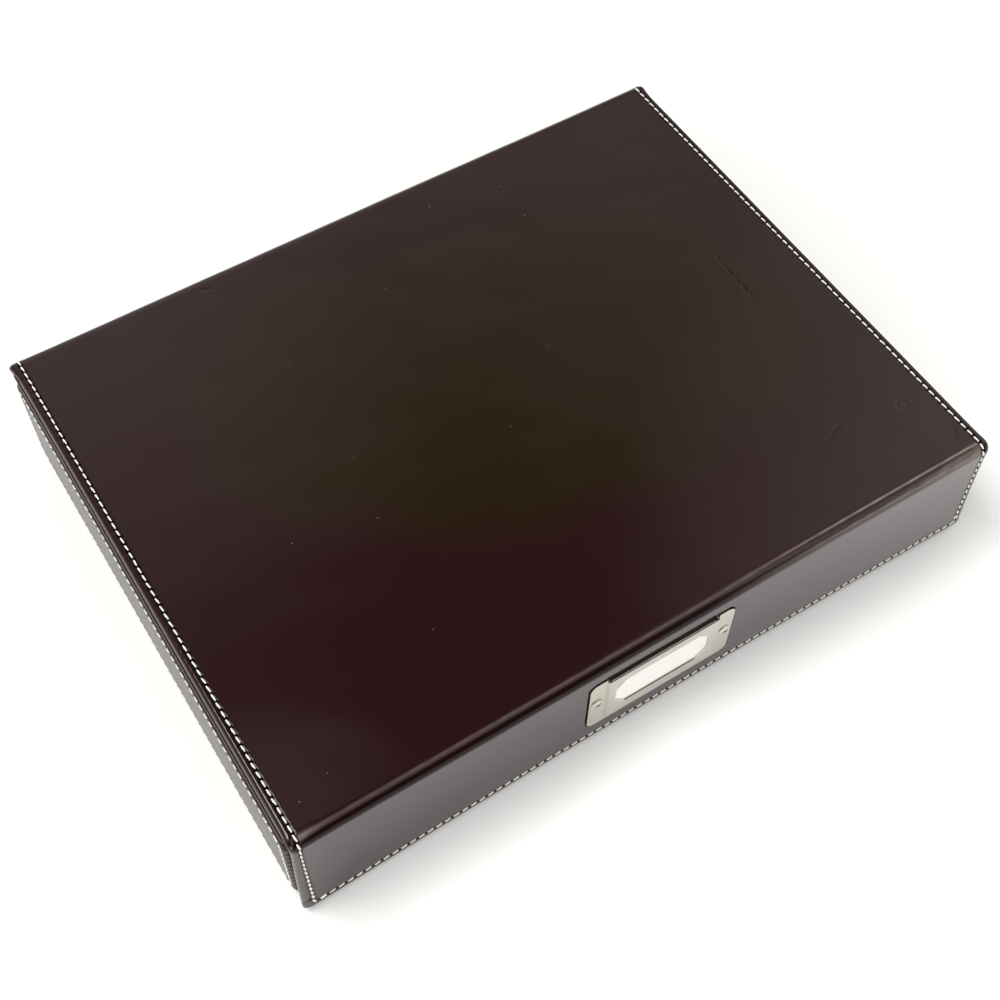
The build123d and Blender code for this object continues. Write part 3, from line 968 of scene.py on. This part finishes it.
def lining_leaf(name, low, high, thick, corner, place):
    edge = thick / 2
    return leaf_mesh(
        name,
        grid_lines(low[0] + edge, high[0] - edge, 0.6, 5.0),
        grid_lines(low[1] + edge, high[1] - edge, 0.6, 5.0),
        thick,
        corner,
        all_round,
        place,
        lambda a, b: LINING_WAVE * ripples(a, b, LINING_WAVE_LENGTH, seed=33),
        lambda a, b: SOFT_PULL + UNEVEN_PULL * ripples(a, b, UNEVEN_LENGTH, seed=5),
    )


def flared_leaf(name, low, high, corner):
    """A leaf that looks towards the tray and stands off with the flap."""

    def place(a, b, depth):
        flare = foot_flare(a, rise(b, flap_high[2], flap_low[2]))
        return np.stack([a, high[1] - depth - flare, b], axis=-1)

    piece = lining_leaf(name, low[[0, 2]], high[[0, 2]], high[1] - low[1], corner, place)
    piece.data.flip_normals()
    return piece


under_low, under_high = box_mm("lid_lining")
lid_lining = lining_leaf(
    "lid_lining_leaf",
    under_low[:2],
    under_high[:2] + [0.0, 0.5],
    under_high[2] - under_low[2],
    1.4,
    lambda a, b, depth: np.stack([a, b, under_low[2] + depth], axis=-1),
)
lid_lining.data.flip_normals()
flap_inner = flared_leaf("flap_lining_leaf", *box_mm("flap_lining"), 3.0)
board_low, board_high = box_mm("flap_board")
flap_stiffener = flared_leaf(
    "flap_board_sheet", board_low + [1.4, 0.0, 1.0], board_high - [1.4, 0.0, 0.0], 2.0
)
print("lining leaves", len(lid_lining.data.vertices), len(flap_inner.data.vertices))

# %% [markdown]
# Opened, the box shows its inside: a suede panel on the floor and one on each wall, cut a little
# short and glued in, so their edges are soft and don't quite touch. The front wall and the
# underside have plain leather leaves, glued down without thread. All of them are leaves of the
# same kind, laid in the place of a thin box, and each one looks along one axis.

# %% Inside panels and glued leaves
SINK = 0.08


def panel_leaf(node, axis, sign, corner):
    """A leaf in the place of a node. Its face looks along the axis, towards the sign."""
    low, high = box_mm(node)
    flat = [k for k in range(3) if k != axis]

    def place(a, b, depth):
        point = [a, b]
        point.insert(axis, (high if sign > 0 else low)[axis] - sign * (depth + SINK))
        return np.stack(point, axis=-1)

    piece = lining_leaf(node + "_leaf", low[flat], high[flat], high[axis] - low[axis], corner, place)
    if sign * (-1 if axis == 1 else 1) < 0:
        piece.data.flip_normals()
    return piece


inside_panels = {
    "floor_lining": panel_leaf("floor_lining", 2, 1, 1.5),
    "front_wall_lining": panel_leaf("front_wall_lining", 1, 1, 1.5),
    "back_wall_lining": panel_leaf("back_wall_lining", 1, -1, 1.5),
    "left_wall_lining": panel_leaf("left_wall_lining", 0, 1, 1.5),
    "right_wall_lining": panel_leaf("right_wall_lining", 0, -1, 1.5),
}
glued_leaves = {
    "front_wall_leather": panel_leaf("front_wall_leather", 1, -1, 2.0),
    "base_leather": panel_leaf("base_leather", 2, -1, 2.0),
}
print("inside panels", len(inside_panels), "and glued leaves", len(glued_leaves))

# %% [markdown]
# The card is a slip of white board in the frame's pocket. A loose card never lies quite flat, so
# its mesh bows a little, and its top edge stands up in the frame's slot as a thin white line. It is
# a thin sheet, made from the grids of its two faces and closed along the rim.

# %% Card
card_low, card_high = box_mm("label_card")
CARD_BOW = 0.06
CARD_ABOVE = 0.55


def thin_sheet(name, front, back, smooth):
    """A sheet from the grids of points of its two faces."""
    ids = np.arange(front[..., 0].size).reshape(front.shape[:2])
    rim = np.concatenate([ids[:-1, 0], ids[-1, :-1], ids[:0:-1, -1], ids[0, :0:-1], ids[0, :1]])
    faces = grid_faces(ids)
    parts = [faces, faces[:, ::-1] + ids.size, grid_faces(np.stack([rim, rim + ids.size]))]
    points = np.concatenate([front.reshape(-1, 3), back.reshape(-1, 3)])
    return mesh_piece(name, points, np.concatenate(parts), smooth)


def card_slip():
    across = np.linspace(card_low[0], card_high[0], 25)
    up = np.linspace(card_low[2], card_high[2] + CARD_ABOVE, 13)
    grid_a, grid_z = np.meshgrid(across, up, indexing="ij")
    middle, half = (card_low[0] + card_high[0]) / 2, (card_high[0] - card_low[0]) / 2
    bow = CARD_BOW * (1 - ((grid_a - middle) / half) ** 2)
    front, back = [np.stack([grid_a, y + bow, grid_z], axis=-1) for y in (card_low[1], card_high[1])]
    return thin_sheet("card_slip", front, back, smooth=False)


slip = card_slip()
print("card", len(slip.data.vertices), "vertices")

# %% [markdown]
# Behind each fold runs a strip of lining that makes the hinge strong. It is a plain curved band,
# laid under the sheet of the cover by its own coordinates.

# %% Hinge strips behind the folds
STRIP_THICK = 1.0
STRIP_SHORT = 1.7
strip_depth = spine_high[1] - box_mm("rear_fold_lining")[1][1]


def hinge_strip(name, start):
    across = np.linspace(STRIP_SHORT - half_width, half_width - STRIP_SHORT, 40)
    run = np.linspace(start, start + fold_length, 14)
    grid = np.meshgrid(across, run, indexing="ij")
    outer, inner = cover_place(*grid, strip_depth), cover_place(*grid, strip_depth + STRIP_THICK)
    piece = thin_sheet(name, outer, inner, smooth=True)
    piece.data.flip_normals()
    return piece


strips = {
    "rear_fold": hinge_strip("rear_hinge_strip", spine_end),
    "front_fold": hinge_strip("front_hinge_strip", lid_end),
}
print("hinge strips", len(strips["rear_fold"].data.vertices))

# %% [markdown]
# Each piece gets its finish, rides on the body it is fixed to, and stands in for the plain solid
# under it. The thread has no solid of its own, so it stands in for nothing.

# %% Finish and fix the pieces
def dress(piece, material, slot):
    piece.data.materials.clear()
    piece.data.materials.append(material)


def settle(piece, material, slot, body, *nodes):
    dress(piece, material, slot)
    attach(piece, body)
    if nodes:
        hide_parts(*nodes)


for zone, body in (("spine", "tray"), ("lid", "lid"), ("flap", "flap")):
    settle(covers[zone], cowhide, "cover_leather", body, zone + "_leather")
    settle(threads[zone], linen, "thread", body)
for wall in wall_sides:
    settle(walls[wall], tray_cowhide, "cover_leather", "tray", wall + "_leather")
    settle(threads[wall], linen, "thread", "tray")
for node, piece in inside_panels.items():
    settle(piece, suede, "lining", "tray", node)
for node, piece in glued_leaves.items():
    settle(piece, cowhide, "cover_leather", "tray", node)
settle(lid_lining, cowhide, "cover_leather", "lid", "lid_lining")
settle(flap_inner, cowhide, "cover_leather", "flap", "flap_lining")
settle(flap_stiffener, greyboard, "board", "flap", "flap_board")
settle(slip, card_paper, "card", "card", "label_card")
print("fixed to the tray:", len(inside_panels) + len(glued_leaves) + 2 * len(walls) + 2, "pieces")

# %% [markdown]
# A fold isn't fixed to one body. Its leather, its thread and its strip are curved between two
# bodies, from the line where they leave the first panel to the line where they reach the second.
# A hinge with two stiff halves would be simpler, but the leather would break open at it. Here the
# pieces of each fold get their finish and stay where they are, and the plain nodes under them are
# hidden.

# %% Dress the folds
folds = {
    "rear_fold": ("tray", "lid", (0, spine_high[1], spine_high[2]), (0, lid_high[1], lid_high[2])),
    "front_fold": ("lid", "flap", (0, lid_low[1], lid_high[2]), (0, flap_low[1], flap_high[2])),
}
for fold, (first, second, start, end) in folds.items():
    start, end = [c * MM for c in start], [c * MM for c in end]
    for piece, material, slot in (
        (covers[fold], cowhide, "cover_leather"),
        (threads[fold], linen, "thread"),
        (strips[fold], suede, "lining"),
    ):
        dress(piece, material, slot)
        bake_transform(piece)
        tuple(start)
        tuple(end)
    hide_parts(f"{fold}_leather")
    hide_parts(f"{fold}_lining")
print("folds bend between", [fold[:2] for fold in folds.values()])

# %% [markdown]
# The nodes that keep their own mesh are dressed by the slot that the part's record gives them. The
# frame and its screws also get finely rounded edges, as tumbling leaves no sharp ones.

# %% Finish the remaining nodes
finish_of = {
    "cover_leather": cowhide,
    "lining": suede,
    "board": greyboard,
    "nickel_plate": nickel,
    "magnet": nickel,
    "card": card_paper,
}
for part in frame["record"]["subparts"]:
    node = frame["nodes"][part["node"]]
    dress(node, finish_of[part["material_slot"]], part["material_slot"])
dress(frame["nodes"]["card_frame_screws"], screw_nickel, "nickel_plate")
for name in ("card_frame", "card_frame_screws"):
    node = frame["nodes"][name]
    rounding = node.modifiers.new("worn edges", "BEVEL")
    rounding.width = 0.12 * MM
    rounding.segments = 2
    rounding.limit_method = "ANGLE"
    node.data.polygons.foreach_set("use_smooth", [True] * len(node.data.polygons))
print("dressed", len(frame["nodes"]), "nodes")

# %% [markdown]
# The box was photographed on a white table, from above its front left corner. The camera was
# worked out from the edges of the box: where it stands, in metres, and how it is turned.

# %% Camera
CAMERA_AT = Vector((-0.20740, -0.32381, 0.58444))
CAMERA_RIGHT = Vector((0.8455, -0.5339, 0.0097)).normalized()
CAMERA_FORWARD = Vector((0.296, 0.4535, -0.8406)).normalized()
LENS_MM = 54.81
camera_up = CAMERA_RIGHT.cross(CAMERA_FORWARD).normalized()
camera_right = CAMERA_FORWARD.cross(camera_up).normalized()
turn = Matrix((camera_right, camera_up, -CAMERA_FORWARD)).transposed()
camera = bpy.data.objects.new("camera", bpy.data.cameras.new("camera"))
camera.data.sensor_width = 36.0
camera.data.lens = LENS_MM
camera.matrix_world = Matrix.Translation(CAMERA_AT) @ turn.to_4x4()
bpy.context.scene.collection.objects.link(camera)
bpy.context.scene.camera = camera
print("camera at", tuple(round(c, 3) for c in CAMERA_AT))

# %% [markdown]
# White is the table's own colour, and the shadow of the box falls on it. Rays from the camera and
# from glossy surfaces see it a little brighter. Glossy rays see it brighter still at the right: a
# painted pool of light that no lamp casts, which shows only in reflections, as at the flap's right
# end. Further away, where the lamps no longer reach, the camera sees it as white all the same. A
# lamp for each of these would be the other way, but it would also light the box.

# %% Floor
def white_floor():
    material, shader, place = new_material("white table")
    path = add(material, "LightPath")
    from_box = add(material, "VectorMath", {0: place}, operation="LENGTH").outputs["Value"]
    far = add(material, "MapRange", {"Value": from_box}, From_Min=0.24, From_Max=2.2)
    feed(material, far, To_Min=0.1, To_Max=0.95)
    across = add(material, "SeparateXYZ", {"Vector": place}).outputs["X"]
    # A painted pool of light at the right, which only glossy rays see.
    painted_light_at_right = add(material, "MapRange", {"Value": across}, From_Min=0.02, From_Max=0.16)
    feed(material, painted_light_at_right, To_Min=0.1, To_Max=0.42)
    to_camera, to_gloss = path.outputs["Is Camera Ray"], path.outputs["Is Glossy Ray"]
    by_camera = add(material, "Math", {0: far, 1: to_camera}, operation="MULTIPLY")
    painted_reflection_glow = add(material, "Math", {0: painted_light_at_right, 1: to_gloss}, operation="MULTIPLY")
    seen = add(material, "Math", {0: by_camera, 1: painted_reflection_glow}, operation="ADD")
    glow = add(material, "Emission", {"Strength": seen}, Color=(1, 1, 0.985, 1))
    together = add(material, "AddShader", {0: shader, 1: glow})
    feed(material, material.node_tree.nodes["Material Output"], {"Surface": together})
    feed(material, shader, Base_Color=linear("#fbfbf9"), Roughness=0.9, Specular_IOR_Level=0.1)
    return material


bpy.ops.mesh.primitive_plane_add(size=12.0, location=(0, 0, 0))
floor = bpy.context.object
floor.name = "floor"
floor.data.materials.append(white_floor())
print("floor", tuple(floor.dimensions))

# %% [markdown]
# Light comes from a window high at the left, a little behind the box, so the shadow is short and
# falls to the lower right. A pale ceiling beside it fills in, and a low panel at the front left
# stands for a white wall. A long strip above the front draws the pale line along the front fold.
# Each lamp is set by the share of light that it gives a level sheet at the box, and the power
# follows from that. The shares come to about one, so that colours look as they are written.

# %% Light
def soft_panel(name, direction, distance, width, height, share):
    """An area lamp that looks at the box and gives a level sheet there that share of full light."""
    way = Vector(direction).normalized()
    lamp = bpy.data.lights.new(name, "AREA")
    lamp.shape = "RECTANGLE"
    lamp.size = width
    lamp.size_y = height
    lamp.energy = share * pi * pi * distance**2 / way.z
    light = bpy.data.objects.new(name, lamp)
    light.location = way * distance
    light.rotation_euler = (-way).to_track_quat("-Z", "Y").to_euler()
    bpy.context.scene.collection.objects.link(light)
    print(name, "radiance", round(lamp.energy / (pi * pi * width * height), 2))


soft_panel("window", (-0.32, 0.20, 0.926), 2.2, 0.9, 0.9, share=0.42)
soft_panel("ceiling", (-0.42, -0.02, 0.907), 2.2, 1.3, 1.3, share=0.2)
soft_panel("strip", (0.25, -0.5, 0.85), 1.8, 3.0, 0.9, share=0.2)
soft_panel("front_wall_glow", (-0.6, -0.8, 0.35), 2.2, 1.6, 1.0, share=0.13)

# %% [markdown]
# The rest of the room is a plain gradient: pale low down, where its walls are, and dark overhead.
# A dark part overhead is what keeps the top of the glossy leather deep brown, because that is what
# the lid mirrors. Two large soft glows, on the back wall and high at the right, are what the lid's
# far left and near right corners mirror, and two faint small ones show in its far right part and
# its near left corner. In front of the box the room is dark. The camera itself sees plain white
# behind the table.

# %% Room
DIM_ROOM = 0.03
world = bpy.data.worlds.new("room")
bpy.context.scene.world = world
world.use_nodes = True
way = add(world, "TexCoord").outputs["Generated"]
height = add(world, "SeparateXYZ", {"Vector": way}).outputs["Z"]
from_top = add(world, "Math", {0: 1.0, 1: height}, operation="SUBTRACT", use_clamp=True)
horizon = add(world, "Math", {0: from_top, 1: 1.8}, operation="POWER")
wall_top = add(world, "MapRange", {"Value": height}, From_Min=0.77, From_Max=0.69, To_Max=0.34)
wall_light = add(world, "Math", {0: horizon, 1: wall_top}, operation="MAXIMUM")


def glow_towards(direction, start, end, most):
    """Light that grows from 0 to most as a direction of the room turns towards the given one."""
    near = add(world, "VectorMath", {0: way, 1: direction}, operation="DOT_PRODUCT")
    glow = add(world, "MapRange", {"Value": near.outputs["Value"]}, From_Min=start, From_Max=end)
    return feed(world, glow, To_Max=most)


not_in_front = glow_towards((0.0, 1.0, 0.0), -0.45, -0.1, 0.95)
to_the_right = glow_towards((1.0, 0.0, 0.0), 0.3, 0.55, 0.95)
lit_part = add(world, "Math", {0: not_in_front, 1: to_the_right}, operation="ADD", use_clamp=True)
together = add(world, "Math", {0: wall_light, 1: lit_part}, operation="MULTIPLY")
for light in (
    glow_towards((0.05, 0.75, 0.66), 0.925, 0.99, 0.52),
    glow_towards((0.66, 0.10, 0.745), 0.904, 0.969, 0.75),
    glow_towards((0.42, 0.52, 0.74), 0.986, 0.996, 0.2),
    glow_towards((0.075, 0.375, 0.924), 0.9965, 0.9992, 0.3),
    DIM_ROOM,
):
    together = add(world, "Math", {0: together, 1: light}, operation="ADD")

by_camera = add(world, "LightPath").outputs["Is Camera Ray"]
shown = add(world, "Math", {0: together, 1: by_camera}, operation="MAXIMUM")
tint = add(world, "MixRGB", {"Fac": by_camera}, Color1=(1.0, 0.985, 0.96, 1), Color2=(1, 1, 1, 1))
feed(world, world.node_tree.nodes["Background"], {"Strength": shown, "Color": tint})
bpy.context.scene.view_settings.view_transform = "Standard"
print("room nodes", len(world.node_tree.nodes))
